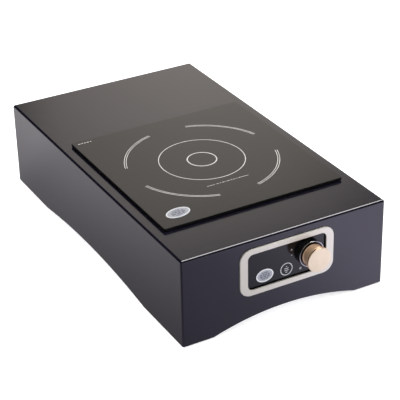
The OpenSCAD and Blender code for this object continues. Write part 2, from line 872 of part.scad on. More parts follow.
// Ring-core choke lying on the filter board, with its two windings as wider stretches.
module filter_choke() {
    color([0.6, 0.3, 0.15]) place() translate([filter_x - 18, filter_y - 8, pcb_z + pcb_t + 9]) {
        rotate_extrude() translate([15, 0]) square([9, 14], center = true);
        for (a = [20, 200])
            rotate([0, 0, a]) rotate_extrude(angle = 140) translate([15, 0])
                square([13, 18], center = true);
    }
}

module filter_capacitors() {
    color([0.2, 0.3, 0.6]) place() {
        translate([filter_x + 26, filter_y - 24, pcb_z + pcb_t]) slab(30, 18, 24);
        translate([filter_x + 26, filter_y, pcb_z + pcb_t]) slab(30, 14, 20);
    }
}

// Recessed three-pin inlet, fixed behind the back wall with its mouth flush.
module inlet_body() {
    mouth_w = inlet_w + 2 * inlet_wall;
    mouth_h = inlet_h + 2 * inlet_wall;
    color([0.05, 0.05, 0.05]) place() translate([inlet_x, back_y, inlet_z]) difference() {
        union() {
            translate([-mouth_w / 2, -inlet_depth - inlet_wall, -mouth_h / 2])
                cube([mouth_w, inlet_depth + inlet_wall, mouth_h]);
            translate([-inlet_flange_w / 2, -sheet_t - inlet_flange_t, -mouth_h / 2 - 1])
                cube([inlet_flange_w, inlet_flange_t, mouth_h + 2]);
        }
        translate([-inlet_w / 2, -inlet_depth, -inlet_h / 2])
            cube([inlet_w, inlet_depth + CUT, inlet_h]);
        for (x = [-1, 1])
            translate([x * inlet_screw_at, CUT, 0]) rotate([90, 0, 0]) cylinder(r = shank_r, h = 8);
        pin_blades();
    }
}

// The three flat blades, from their solder tags to short of the inlet's mouth.
module pin_blades() {
    for (p = [[-7, -3], [7, -3], [0, 4]])
        translate([p[0] - 4, -inlet_depth - 10, p[1] - 1]) cube([8, inlet_depth + 3, 2]);
}

module inlet_pins() {
    color([0.8, 0.72, 0.45]) place() translate([inlet_x, back_y, inlet_z]) pin_blades();
}

module inlet_screws() {
    color([0.3, 0.3, 0.32]) place()
        for (x = [-1, 1])
            translate([inlet_x + x * inlet_screw_at, back_y, inlet_z])
                rotate([90, 0, 0]) {
                    cylinder(r1 = 3, r2 = shank_r, h = 1.4);
                    cylinder(r = shank_r, h = 7);
                }
}

// Three wires from the inlet's tags down to the filter board.
module mains_wires() {
    wire_y = back_y - inlet_depth - 13;
    wire_z = pcb_z + pcb_t + 3;
    color([0.35, 0.25, 0.15]) place()
        for (i = [-1, 0, 1])
            translate([inlet_x + i * sleeve_dx, wire_y, wire_z]) {
                rise = inlet_z - 3 + (i == 0 ? 7 : 0) - wire_z;
                cylinder(r = sleeve_r, h = rise);
                translate([0, 0, rise]) sphere(r = sleeve_r);
                translate([0, 0, rise]) rotate([-90, 0, 0]) cylinder(r = sleeve_r, h = 3);
                rotate([90, 0, 0]) cylinder(r = sleeve_r, h = wire_y - filter_y - 30);
                sphere(r = sleeve_r);
            }
}

// Flat cable from the control board, along the base plate's left side, to the power board.
module control_cable() {
    cable_x = -bridge_w / 2 - 24;
    start_x = panel_x - 24;
    start_y = front_y + board_depth + cable_w;
    end_y = filter_y - 60;
    color([0.55, 0.56, 0.6]) place() {
        translate([start_x, start_y - 8, cable_z]) cube([cable_w, cable_t, panel_z - 18 - cable_z]);
        translate([start_x, start_y - 8, cable_z]) cube([cable_w, 10, cable_t]);
        translate([cable_x, start_y, cable_z]) cube([start_x + cable_w - cable_x, cable_w, cable_t]);
        translate([cable_x, start_y, cable_z]) cube([cable_w, end_y - start_y, cable_t]);
        translate([cable_x, end_y - cable_w, cable_z])
            cube([power_x - 80 - cable_x, cable_w, cable_t]);
    }
}

case_shell();
base_plate();
rail_left();
rail_right();
base_screws();
foot_front_left();
foot_front_right();
foot_back_left();
foot_back_right();
foot_screws();
glass_seal();
glass_top();
control_bezel();
bezel_nuts();
panel_plate();
panel_bracket();
knob_collar();
collar_ring();
control_knob();
knob_set_screw();
status_lens();
control_body();
control_bush();
control_nut();
control_shaft();
control_board();
board_spacers();
control_board_screws();
coil_winding();
coil_carrier();
ferrite_bars();
mica_sheet();
temperature_sensor();
coil_bridge();
coil_springs();
bridge_screws();
coil_leads();
power_board();
power_board_posts();
heat_sink();
power_transistors();
resonant_capacitors();
coil_terminals();
fan_frame();
fan_rotor();
fan_screws();
air_duct();
filter_board();
filter_board_posts();
filter_choke();
filter_capacitors();
inlet_body();
inlet_pins();
inlet_screws();
mains_wires();
control_cable();
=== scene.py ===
"""Looks of the countertop induction hob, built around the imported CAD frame.

Metres, +Z up, the knob faces -Y. Sizes come from the frame's boxes or from named values in millimetres.
"""
import json
import math

import bmesh
import bpy
from mathutils import Matrix, Vector


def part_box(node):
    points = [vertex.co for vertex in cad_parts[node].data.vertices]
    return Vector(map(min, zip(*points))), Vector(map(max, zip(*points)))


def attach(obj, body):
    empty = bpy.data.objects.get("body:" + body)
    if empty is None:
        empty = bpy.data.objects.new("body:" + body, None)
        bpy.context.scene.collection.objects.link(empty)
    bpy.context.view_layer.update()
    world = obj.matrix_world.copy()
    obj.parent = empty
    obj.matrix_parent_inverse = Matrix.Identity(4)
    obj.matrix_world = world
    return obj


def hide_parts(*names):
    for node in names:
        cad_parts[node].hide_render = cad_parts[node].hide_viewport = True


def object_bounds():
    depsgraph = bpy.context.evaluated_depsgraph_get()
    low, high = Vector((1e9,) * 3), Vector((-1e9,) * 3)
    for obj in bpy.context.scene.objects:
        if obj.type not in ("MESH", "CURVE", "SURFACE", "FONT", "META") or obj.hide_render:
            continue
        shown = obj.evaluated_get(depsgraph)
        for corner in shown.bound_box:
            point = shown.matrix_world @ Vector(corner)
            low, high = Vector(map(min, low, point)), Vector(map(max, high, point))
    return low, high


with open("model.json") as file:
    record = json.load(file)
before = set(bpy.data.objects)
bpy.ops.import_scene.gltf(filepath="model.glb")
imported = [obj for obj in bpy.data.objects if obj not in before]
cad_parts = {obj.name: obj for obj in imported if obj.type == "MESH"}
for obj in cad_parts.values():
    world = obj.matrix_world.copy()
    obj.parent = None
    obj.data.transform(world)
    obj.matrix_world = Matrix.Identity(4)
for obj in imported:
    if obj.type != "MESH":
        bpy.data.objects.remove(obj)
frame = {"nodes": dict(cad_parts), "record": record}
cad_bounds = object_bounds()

MM = 0.001
FOLD_R = 3.5 * MM
CORNER_R = 3 * MM
SHEET = 1.5 * MM
KNOB_SEGMENTS = 128
SEAL_WIDTH = 9 * MM
SEAL_CORNER_R = 4 * MM
PRINT_HEIGHT = 0.06 * MM
PANEL_INK = 0.05 * MM
LABEL_FACE = 0.12 * MM
LABEL_INK = 0.03 * MM
SET_SCREW_R = 1.55 * MM
# Depths from the knob's back whose faces get the groove's painted shade.
GROOVE_SHADE_DEPTHS = (1.55 * MM, 3.5 * MM)

case_lo, case_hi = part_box("case_shell")
glass_lo, glass_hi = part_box("glass_top")
seal_lo, seal_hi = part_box("glass_seal")
bezel_lo, bezel_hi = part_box("control_bezel")
plate_lo, plate_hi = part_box("panel_plate")
knob_lo, knob_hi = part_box("control_knob")
collar_lo, collar_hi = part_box("knob_collar")
ring_lo, ring_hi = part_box("collar_ring")
zone_lo, zone_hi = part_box("mica_sheet")
inlet_lo, inlet_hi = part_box("inlet_body")
power_lo, power_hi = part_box("power_board")

front_y = case_lo.y
zone = (zone_lo + zone_hi) / 2
knob_axis = (knob_lo + knob_hi) / 2
panel_mid = (plate_lo + plate_hi) / 2
floor_card_z = case_lo.z - 2.1 * MM


# ---------------------------------------------------------------- placing and mesh helpers

def facing_up(x, y, z):
    """Maps outline points and a height to places on a level surface at z."""
    return lambda u, v, out: Vector((x + u, y + v, z + out))


def facing_front(x, y, z):
    """Maps outline points and a height to places on a surface at y that faces the front."""
    return lambda u, v, out: Vector((x + u, y - out, z + v))


def facing_down(x, y, z):
    """Maps outline points and a height to places on a level surface at z, seen from below."""
    return lambda u, v, out: Vector((x + u, y - v, z - out))


def rounded_outline(w, h, r, steps):
    """Corner by corner points of a rounded rectangle, counter-clockwise."""
    r = max(r, 0.05 * MM)
    points = []
    for quarter, (sx, sy) in enumerate(((1, 1), (-1, 1), (-1, -1), (1, -1))):
        for k in range(steps + 1):
            a = math.radians(90 * quarter + 90 * k / steps)
            points.append((sx * (w / 2 - r) + r * math.cos(a), sy * (h / 2 - r) + r * math.sin(a)))
    return points


def ellipse_outline(a, b):
    """Points of an ellipse with half axes a and b."""
    steps = 64
    turns = [2 * math.pi * k / steps for k in range(steps)]
    return [(a * math.cos(t), b * math.sin(t)) for t in turns]


def quarter_round(r, start, steps):
    """(inset, height) points of a convex quarter round of radius r that ends at height start + r."""
    turns = [math.pi / 2 * k / steps for k in range(steps + 1)]
    return [(r * (1 - math.cos(t)), start + r * math.sin(t)) for t in turns]


def loft(bm, rings, closed=False, caps=True):
    """Joins rings of equal point counts with quads. The rings either close on themselves or get caps."""
    made = [[bm.verts.new(p) for p in ring] for ring in rings]
    pairs = list(zip(made, made[1:] + made[:1] if closed else made[1:]))
    for low, high in pairs:
        for i in range(len(low)):
            j = (i + 1) % len(low)
            bm.faces.new((low[i], low[j], high[j], high[i]))
    if caps and not closed:
        bm.faces.new(list(reversed(made[0])))
        bm.faces.new(made[-1])
    return made


def plate_mesh(bm, place, w, h, r, levels, steps=8):
    """A rounded rectangular plate whose edge follows (inset, height) levels."""
    rings = []
    for inset, out in levels:
        points = rounded_outline(w - 2 * inset, h - 2 * inset, r - inset, steps)
        rings.append([place(u, v, out) for u, v in points])
    loft(bm, rings)


def frame_mesh(bm, place, outer, inner, section, steps=10):
    """A closed frame: section points are (0 for the outer outline or 1 for the inner, inset, height)."""
    rings = []
    for which, inset, out in section:
        w, h, r = (outer, inner)[which]
        grow = -inset if which == 0 else inset
        points = rounded_outline(w + 2 * grow, h + 2 * grow, r + grow, steps)
        rings.append([place(u, v, out) for u, v in points])
    loft(bm, rings, closed=True)


def lathe_mesh(bm, place, profile, segments=KNOB_SEGMENTS, closed=False):
    """Turns a profile of (radius, height) points. Radius zero at an end closes it with a pole."""
    body = [p for p in profile if p[0] > 0]
    turns = [2 * math.pi * k / segments for k in range(segments)]
    rings = [[place(r * math.cos(t), r * math.sin(t), out) for t in turns] for r, out in body]
    made = loft(bm, rings, closed=closed, caps=False)
    for end, ring in ((profile[0], made[0]), (profile[-1], made[-1])):
        if end[0] == 0:
            pole = bm.verts.new(place(0, 0, end[1]))
            for i in range(segments):
                bm.faces.new((ring[i], ring[(i + 1) % segments], pole))


def band_mesh(bm, place, radius, width, start, end, height, step=2.0):
    """A thin raised band that follows a circle from one angle to another, in degrees."""
    count = max(2, int(abs(end - start) / step))
    rings = []
    for k in range(count + 1):
        a = math.radians(start + (end - start) * k / count)
        inner, outer = radius - width / 2, radius + width / 2
        section = ((inner, 0), (outer, 0), (outer, height), (inner, height))
        rings.append([place(r * math.cos(a), r * math.sin(a), out) for r, out in section])
    loft(bm, rings, closed=abs(end - start) >= 360 - step / 2, caps=abs(end - start) < 359)


def bar_mesh(bm, place, u, v, w, h, height):
    """A thin raised bar with rounded ends, centred on (u, v)."""
    shifted = lambda a, b, out: place(u + a, v + b, out)
    plate_mesh(bm, shifted, w, h, min(w, h) * 0.45, [(0, 0), (0, height)], steps=3)


def solid_oval(bm, place, a, b, levels):
    """A flat oval whose edge follows (inset, height) levels."""
    rings = []
    for inset, out in levels:
        rings.append([place(u, v, out) for u, v in ellipse_outline(a - inset, b - inset)])
    loft(bm, rings)


def mesh_object(name, bm, smooth=35, even=True):
    """Turns a bmesh into an object whose faces shade smoothly up to an angle between them."""
    bmesh.ops.recalc_face_normals(bm, faces=bm.faces)
    mesh = bpy.data.meshes.new(name)
    bm.to_mesh(mesh)
    bm.free()
    obj = bpy.data.objects.new(name, mesh)
    bpy.context.scene.collection.objects.link(obj)
    shade(obj, smooth)
    if even:
        flatten_normals(obj)
    return obj


def shade(obj, smooth):
    """Smooth shading with sharp edges where faces meet at more than an angle in degrees."""
    for face in obj.data.polygons:
        face.use_smooth = True
    obj.data.set_sharp_from_angle(angle=math.radians(smooth))


def bake_modifiers(obj):
    """Replaces an object's mesh by its evaluated mesh and drops its modifiers."""
    bpy.context.view_layer.update()
    evaluated = obj.evaluated_get(bpy.context.evaluated_depsgraph_get())
    mesh = bpy.data.meshes.new_from_object(evaluated)
    mesh.name = obj.name
    obj.modifiers.clear()
    obj.data = mesh


def cut(obj, *cutters):
    """Cuts closed meshes out of an object, one after another, and removes them."""
    for cutter in cutters:
        modifier = obj.modifiers.new("cut", "BOOLEAN")
        modifier.operation = "DIFFERENCE"
        modifier.solver = "EXACT"
        modifier.object = cutter
        bake_modifiers(obj)
        bpy.data.objects.remove(cutter)


def soften_edges(obj, width, angle):
    """Rounds every edge sharper than an angle."""
    modifier = obj.modifiers.new("edges", "BEVEL")
    modifier.width = width
    modifier.segments = 2
    modifier.limit_method = "ANGLE"
    modifier.angle_limit = math.radians(angle)
    bake_modifiers(obj)


def flatten_normals(obj):
    """Lets the large flat faces rule the shading, so that only the small round ones bend it."""
    modifier = obj.modifiers.new("normals", "WEIGHTED_NORMAL")
    modifier.mode = "FACE_AREA"
    modifier.weight = 100
    modifier.keep_sharp = True
    bake_modifiers(obj)


def settle(obj, material, body="case", nodes=()):
    """Gives a piece its material and body, and hides the CAD nodes that it stands for."""
    obj.data.materials.clear()
    obj.data.materials.append(material)
    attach(obj, body)
    if nodes:
        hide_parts(*nodes)


# ---------------------------------------------------------------- material helpers

class Nodes:
    """A short way to write one node material."""

    def __init__(self, name, color, roughness, metallic=0.0, **sockets):
        self.material = bpy.data.materials.new(name)
        self.material.use_nodes = True
        self.tree = self.material.node_tree
        self.bsdf = self.tree.nodes["Principled BSDF"]
        self.bsdf.inputs["Base Color"].default_value = (*color, 1)
        self.bsdf.inputs["Roughness"].default_value = roughness
        self.bsdf.inputs["Metallic"].default_value = metallic
        for socket, value in sockets.items():
            self.bsdf.inputs[socket.replace("_", " ")].default_value = value
        self.bump_input = None

    def add(self, kind, **values):
        """Adds a node. A value goes to the socket of that name, or else to the property."""
        node = self.tree.nodes.new(kind)
        for key, value in values.items():
            if key in node.inputs:
                node.inputs[key].default_value = value
            else:
                setattr(node, key, value)
        return node

    def link(self, source, target):
        """Joins an output to an input."""
        self.tree.links.new(source, target)

    def place(self, scale=(1, 1, 1), rotation=(0, 0, 0), location=(0, 0, 0)):
        """Object coordinates in metres, stretched by a scale."""
        coordinates = self.add("ShaderNodeTexCoord")
        mapping = self.add("ShaderNodeMapping")
        mapping.inputs["Scale"].default_value = scale
        mapping.inputs["Rotation"].default_value = rotation
        mapping.inputs["Location"].default_value = location
        self.link(coordinates.outputs["Object"], mapping.inputs["Vector"])
        return mapping.outputs["Vector"]

    def noise(self, scale, vector=None, detail=3.0, roughness=0.5):
        """Noise whose scale counts features per metre."""
        node = self.add("ShaderNodeTexNoise", Scale=scale, Detail=detail, Roughness=roughness)
        self.link(vector or self.place(), node.inputs["Vector"])
        return node.outputs["Fac"]

    def ramp(self, factor, low, high, start=0.3, end=0.7):
        """Maps a factor between two values or two colours."""
        if isinstance(low, (int, float)):
            node = self.add("ShaderNodeMapRange")
            node.inputs["From Min"].default_value = start
            node.inputs["From Max"].default_value = end
            node.inputs["To Min"].default_value = low
            node.inputs["To Max"].default_value = high
            self.link(factor, node.inputs["Value"])
            return node.outputs["Result"]
        node = self.add("ShaderNodeValToRGB")
        node.color_ramp.elements[0].position = start
        node.color_ramp.elements[1].position = end
        node.color_ramp.elements[0].color = (*low, 1)
        node.color_ramp.elements[1].color = (*high, 1)
        self.link(factor, node.inputs["Fac"])
        return node.outputs["Color"]

    def color(self, source):
        """Drives the base colour."""
        self.link(source, self.bsdf.inputs["Base Color"])

    def roughness(self, source):
        """Drives the roughness."""
        self.link(source, self.bsdf.inputs["Roughness"])

    def bump(self, height, strength, distance):
        """Adds a bump layer on top of the ones before it."""
        node = self.add("ShaderNodeBump", Strength=strength, Distance=distance)
        self.link(height, node.inputs["Height"])
        if self.bump_input is not None:
            self.link(self.bump_input, node.inputs["Normal"])
        self.bump_input = node.outputs["Normal"]
        self.link(self.bump_input, self.bsdf.inputs["Normal"])


def mixed(low, share):
    """A colour and its slightly lighter variant."""
    return low, tuple(min(1.0, c * (1 + share)) for c in low)


def paint_material():
    """Satin black coat on sheet metal: a fine orange peel and slightly uneven sheen."""
    n = Nodes("satin_black_paint", (0.0045, 0.0038, 0.0085), 0.18)
    n.color(n.ramp(n.noise(9, detail=4), *mixed((0.0042, 0.0036, 0.0082), 0.18)))
    n.roughness(n.ramp(n.noise(60, detail=5), 0.15, 0.20))
    n.bump(n.noise(1400, detail=2), 0.10, 0.00005)
    n.bump(n.noise(160, detail=1), 0.05, 0.0001)
    return n.material


def glass_material():
    """Black glass ceramic: near-mirror smooth, with faint wiping streaks in the sheen."""
    n = Nodes("black_glass_ceramic", (0.006, 0.0056, 0.0056), 0.1, IOR=1.385)
    n.color(n.ramp(n.noise(5000, detail=1), (0.005, 0.0046, 0.0046), (0.008, 0.0075, 0.0075)))
    streaks = n.noise(40, n.place(scale=(1, 6, 1), rotation=(0, 0, 0.5)), detail=4)
    n.roughness(n.ramp(streaks, 0.09, 0.15))
    n.bump(n.noise(900, detail=1), 0.02, 0.00002)
    return n.material


def brushed_material(name, color, roughness, along, metallic=1.0):
    """Metal with fine straight brushing. along is the stretched scale that lays the lines."""
    n = Nodes(name, color, roughness, metallic=metallic)
    lines = n.noise(1.0, n.place(scale=along), detail=4, roughness=0.7)
    soft = n.noise(18, detail=3)
    n.color(n.ramp(lines, tuple(c * 0.9 for c in color), tuple(min(1, c * 1.06) for c in color)))
    n.roughness(n.ramp(lines, roughness - 0.07, roughness + 0.07))
    n.bump(lines, 0.12, 0.00004)
    n.bump(soft, 0.02, 0.0002)
    return n.material


def turned_material(name, color, roughness, metallic=1.0):
    """Metal faced on a lathe: very fine rings round the knob's axis."""
    n = Nodes(name, color, roughness, metallic=metallic)
    coordinates = n.place(location=(-knob_axis.x, 0, -knob_axis.z))
    split = n.add("ShaderNodeSeparateXYZ")
    n.link(coordinates, split.inputs[0])
    flat = n.add("ShaderNodeCombineXYZ")
    n.link(split.outputs["X"], flat.inputs["X"])
    n.link(split.outputs["Z"], flat.inputs["Z"])
    length = n.add("ShaderNodeVectorMath", operation="LENGTH")
    n.link(flat.outputs[0], length.inputs[0])
    radial = n.add("ShaderNodeCombineXYZ")
    n.link(length.outputs["Value"], radial.inputs["X"])
    n.link(split.outputs["Y"], radial.inputs["Y"])
    scaled = n.add("ShaderNodeVectorMath", operation="SCALE", Scale=2500)
    n.link(radial.outputs[0], scaled.inputs[0])
    rings = n.noise(1.0, scaled.outputs[0], detail=2)
    cloud = n.noise(70, detail=3)
    n.color(n.ramp(cloud, tuple(c * 0.95 for c in color), tuple(min(1, c * 1.04) for c in color)))
    n.roughness(n.ramp(rings, roughness - 0.05, roughness + 0.06))
    n.bump(rings, 0.10, 0.00003)
    return n.material


def chrome_material():
    """Bright plating with faint handling haze."""
    n = Nodes("bright_chrome", (0.55, 0.55, 0.57), 0.12, metallic=1.0)
    n.roughness(n.ramp(n.noise(300, detail=3), 0.10, 0.18))
    n.color(n.ramp(n.noise(120), (0.52, 0.52, 0.54), (0.60, 0.60, 0.61)))
    n.bump(n.noise(900), 0.02, 0.00002)
    return n.material


def gloss_material(name, color, roughness, haze=0.05, **inputs):
    """Polished dark plastic or lacquered glass."""
    n = Nodes(name, color, roughness, **inputs)
    n.color(n.ramp(n.noise(700, detail=2), *mixed(color, 0.2)))
    n.roughness(n.ramp(n.noise(55, detail=4), roughness, roughness + haze))
    n.bump(n.noise(500, detail=2), 0.015, 0.00003)
    return n.material


def grained_material(name, color, roughness, grain=900, strength=0.25):
    """Moulded plastic, rubber, board or sleeve: a fine random grain and slightly uneven colour."""
    n = Nodes(name, color, roughness)
    n.color(n.ramp(n.noise(35, detail=5), *mixed(color, 0.22)))
    n.roughness(n.ramp(n.noise(220, detail=3), roughness - 0.06, roughness + 0.06))
    n.bump(n.noise(grain, detail=3), strength, 0.00008)
    return n.material


def spangle_material():
    """Galvanised sheet: crystal patches of slightly different sheen."""
    n = Nodes("galvanised_sheet", (0.55, 0.56, 0.58), 0.42, metallic=1.0)
    cells = n.add("ShaderNodeTexVoronoi", Scale=140.0)
    n.link(n.place(), cells.inputs["Vector"])
    split = n.add("ShaderNodeSeparateColor")
    n.link(cells.outputs["Color"], split.inputs[0])
    n.color(n.ramp(split.outputs[0], (0.50, 0.51, 0.53), (0.62, 0.63, 0.65), 0.0, 1.0))
    n.roughness(n.ramp(split.outputs[1], 0.34, 0.5, 0.0, 1.0))
    n.bump(n.noise(600), 0.06, 0.00005)
    return n.material


def enamel_material(name, color):
    """Fired or screened print: matt, with a slightly speckled edge to its tone."""
    n = Nodes(name, color, 0.42)
    n.color(n.ramp(n.noise(1800, detail=2), tuple(c * 0.82 for c in color), color))
    n.roughness(n.ramp(n.noise(300), 0.37, 0.50))
    n.bump(n.noise(1800, detail=2), 0.08, 0.00003)
    return n.material


def foil_material():
    """Silvered label: grey, finely mottled."""
    n = Nodes("silver_label", (0.25, 0.265, 0.295), 0.38, metallic=0.35)
    n.color(n.ramp(n.noise(1500, detail=3), (0.215, 0.23, 0.26), (0.30, 0.315, 0.345)))
    n.roughness(n.ramp(n.noise(400), 0.3, 0.45))
    n.bump(n.noise(1500, detail=2), 0.06, 0.00003)
    return n.material


paint = paint_material()
glass = glass_material()
bezel_metal = brushed_material("brushed_bezel_steel", (0.62, 0.602, 0.53), 0.54, (60, 60, 4200),
                               metallic=0.75)
screw_metal = brushed_material("zinc_plate", (0.62, 0.62, 0.64), 0.34, (900, 900, 900))
sink_metal = brushed_material("drawn_aluminium", (0.70, 0.71, 0.72), 0.36, (3000, 25, 3000))
turned_steel = turned_material("turned_steel", (0.60, 0.60, 0.62), 0.3)
champagne = turned_material("champagne_metal", (0.665, 0.578, 0.40), 0.36)
# Lighter, less metallic copy of the knob metal for the turned side: painted light, so that the side reads as
# lit from above.
champagne_side_painted_light = turned_material("champagne_turned_side_painted_light", (0.90, 0.62, 0.405), 0.38, metallic=0.84)
# Dark copy of the knob metal: painted shade in the groove behind the face, where little light reaches.
champagne_groove_painted_shade = turned_material("champagne_groove_painted_shade", (0.10, 0.065, 0.04), 0.5, metallic=0.5)
dark_metal = brushed_material("black_oxide_steel", (0.09, 0.09, 0.10), 0.42, (700, 700, 700))
brass_metal = brushed_material("plain_brass", (0.72, 0.55, 0.26), 0.32, (900, 900, 900))
copper_wire = brushed_material("enamelled_copper", (0.62, 0.24, 0.10), 0.35, (1500, 1500, 1500))
chrome = chrome_material()
galvanised = spangle_material()
panel_gloss = gloss_material("black_panel", (0.0015, 0.0015, 0.002), 0.10, IOR=1.43)
collar_gloss = gloss_material("black_collar", (0.004, 0.004, 0.004), 0.22, 0.08)
lens_gloss = gloss_material("clear_lens", (0.17, 0.175, 0.20), 0.15)
rubber = grained_material("black_rubber", (0.018, 0.018, 0.018), 0.72, grain=1200, strength=0.3)
seal_rubber = grained_material("black_seal", (0.006, 0.006, 0.006), 0.8, strength=0.2)
ground_edge = grained_material("ground_glass_edge", (0.004, 0.004, 0.004), 0.6, grain=2200, strength=0.15)
ground_edge.node_tree.nodes["Principled BSDF"].inputs["Specular IOR Level"].default_value = 0.15
ring_print = enamel_material("ring_print", (0.50, 0.48, 0.46))
panel_print = enamel_material("panel_print", (0.42, 0.43, 0.47))
dial_print = enamel_material("dial_print", (0.16, 0.16, 0.18))
label_ink = enamel_material("label_ink", (0.055, 0.065, 0.09))
label_rim = enamel_material("label_rim", (0.61, 0.63, 0.65))
foil = foil_material()
black_plastic = grained_material("black_plastic", (0.02, 0.02, 0.021), 0.5)
switch_blue = grained_material("blue_plastic", (0.03, 0.06, 0.16), 0.45)
board_green = grained_material("solder_mask", (0.01, 0.10, 0.04), 0.3, grain=2500, strength=0.1)
nylon = grained_material("white_nylon", (0.70, 0.69, 0.64), 0.5)
carrier_cream = grained_material("cream_resin", (0.60, 0.56, 0.46), 0.6)
ferrite_grey = grained_material("sintered_ferrite", (0.05, 0.05, 0.055), 0.6, grain=2500, strength=0.4)
mica_sheet = grained_material("mica_sheet", (0.50, 0.44, 0.32), 0.35, grain=400, strength=0.15)
silicone = grained_material("red_silicone", (0.42, 0.09, 0.05), 0.6)
sleeve_tan = grained_material("tan_sleeve", (0.38, 0.27, 0.10), 0.7, grain=3000, strength=0.5)
film_yellow = grained_material("yellow_film", (0.60, 0.42, 0.03), 0.35)
film_blue = grained_material("blue_film", (0.02, 0.06, 0.25), 0.35)
choke_winding = grained_material("choke_winding", (0.35, 0.12, 0.04), 0.4, grain=1500, strength=0.5)
wire_brown = grained_material("brown_sleeve", (0.10, 0.05, 0.02), 0.45)
ribbon_grey = grained_material("grey_ribbon", (0.22, 0.23, 0.26), 0.5, grain=700)

SLOT_MATERIALS = {
    "case_paint": paint, "galvanised_steel": galvanised, "zinc_screw": screw_metal,
    "rubber_black": rubber, "seal_black": seal_rubber, "glass_black": glass,
    "bezel_steel": bezel_metal, "panel_black": panel_gloss, "collar_black": collar_gloss,
    "chrome": chrome, "knob_champagne": champagne, "dark_steel": dark_metal,
    "bright_steel": turned_steel, "lens_clear": lens_gloss, "switch_blue": switch_blue,
    "brass": brass_metal, "board_green": board_green, "nylon_white": nylon,
    "coil_copper": copper_wire, "carrier_cream": carrier_cream, "ferrite": ferrite_grey,
    "mica": mica_sheet, "silicone_red": silicone, "sleeve_tan": sleeve_tan,
    "sink_aluminium": sink_metal, "epoxy_black": black_plastic, "film_yellow": film_yellow,
    "film_blue": film_blue, "plastic_black": black_plastic, "choke_core": choke_winding,
    "wire_sleeve": wire_brown, "ribbon_grey": ribbon_grey,
}


def finish_cad_nodes():
    """Every CAD node that still shows takes the material of its record slot."""
    for part in frame["record"]["subparts"]:
        mesh = frame["nodes"][part["node"]].data
        mesh.materials.clear()
        mesh.materials.append(SLOT_MATERIALS[part["material_slot"]])


# ---------------------------------------------------------------- case

def case_hull(w, length, height, corner, fold, start, middle):
    """A closed block with round upright corners and a rounded top edge."""
    bm = bmesh.new()
    levels = [(0, start)] + quarter_round(fold, height - fold, 6)
    plate_mesh(bm, facing_up(middle.x, middle.y, 0), w, length, corner, levels, steps=6)
    return mesh_object("hull", bm, even=False)


def arch_cutter(chord, rise, run, across):
    """A circular arch through two opposite walls, open at the bottom."""
    r = (chord * chord / 4 + rise * rise) / (2 * rise)
    half = math.asin(chord / 2 / r)
    steps = 64
    middle = (case_lo + case_hi) / 2
    outline = []
    for k in range(steps + 1):
        a = half * (2 * k / steps - 1)
        outline.append((r * math.sin(a), case_lo.z + rise - r + r * math.cos(a)))
    outline += [(chord / 2, case_lo.z - 10 * MM), (-chord / 2, case_lo.z - 10 * MM)]
    bm = bmesh.new()
    rings = []
    for side in (-run / 2, run / 2):
        if across:
            rings.append([Vector((middle.x + side, middle.y + u, z)) for u, z in outline])
        else:
            rings.append([Vector((middle.x + u, middle.y + side, z)) for u, z in outline])
    loft(bm, rings)
    return mesh_object("cutter", bm, even=False)


def wall_cutters():
    """Openings in the front and back walls and in the top, none touching another."""
    bm = bmesh.new()
    window_w = 127.4 * MM
    window_h = 57.8 * MM
    through = [(0, -4 * MM), (0, 2 * MM)]
    plate_mesh(bm, facing_front(panel_mid.x, front_y, panel_mid.z), window_w, window_h, 9 * MM, through)
    top = facing_up((seal_lo.x + seal_hi.x) / 2, (seal_lo.y + seal_hi.y) / 2, case_hi.z)
    opening_w = seal_hi.x - seal_lo.x - 2 * SEAL_WIDTH
    opening_h = seal_hi.y - seal_lo.y - 2 * SEAL_WIDTH
    plate_mesh(bm, top, opening_w, opening_h, SEAL_CORNER_R, through)
    behind = lambda x, z: (lambda u, v, out: Vector((x + u, case_hi.y + out, z + v)))
    vent_w = 30 * MM
    vent_h = 4 * MM
    pitch_x = 38 * MM
    pitch_z = 10 * MM
    first_x = (power_lo.x + power_hi.x) / 2 - pitch_x
    first_z = case_lo.z + 44 * MM
    for row in range(6):
        for col in range(3):
            place = behind(first_x + col * pitch_x, first_z + row * pitch_z)
            plate_mesh(bm, place, vent_w, vent_h, 1.95 * MM, through, steps=5)
    inlet = (inlet_lo + inlet_hi) / 2
    inlet_w = 31.8 * MM
    inlet_h = 23.8 * MM
    plate_mesh(bm, behind(inlet.x, inlet.z), inlet_w, inlet_h, 1 * MM, through, steps=3)
    countersink = [(0, -4 * MM), (1.8 * MM, -4 * MM), (1.8 * MM, -1.5 * MM),
                   (3.2 * MM, 0), (3.2 * MM, 2 * MM), (0, 2 * MM)]
    for side in (-1, 1):
        lathe_mesh(bm, behind(inlet.x + side * 22 * MM, inlet.z), countersink, 32)
    return mesh_object("cutter", bm, even=False)


def build_case():
    """Folded sheet case: round folds, arched skirts and its cut-outs."""
    size = case_hi - case_lo
    middle = (case_lo + case_hi) / 2
    case = case_hull(size.x, size.y, case_hi.z, CORNER_R, FOLD_R, case_lo.z, middle)
    case.name = case.data.name = "case_body"
    inner = case_hull(size.x - 2 * SHEET, size.y - 2 * SHEET, case_hi.z - SHEET,
                      CORNER_R - SHEET, FOLD_R - SHEET, case_lo.z - 10 * MM, middle)
    front_arch = arch_cutter(chord=230 * MM, rise=17 * MM, run=size.y + 10 * MM, across=False)
    side_arch = arch_cutter(chord=334 * MM, rise=11 * MM, run=size.x + 10 * MM, across=True)
    cut(case, inner, front_arch, side_arch, wall_cutters())
    soften_edges(case, 0.25 * MM, angle=50)
    shade(case, 60)
    flatten_normals(case)
    settle(case, paint, nodes=["case_shell"])


# ---------------------------------------------------------------- glass

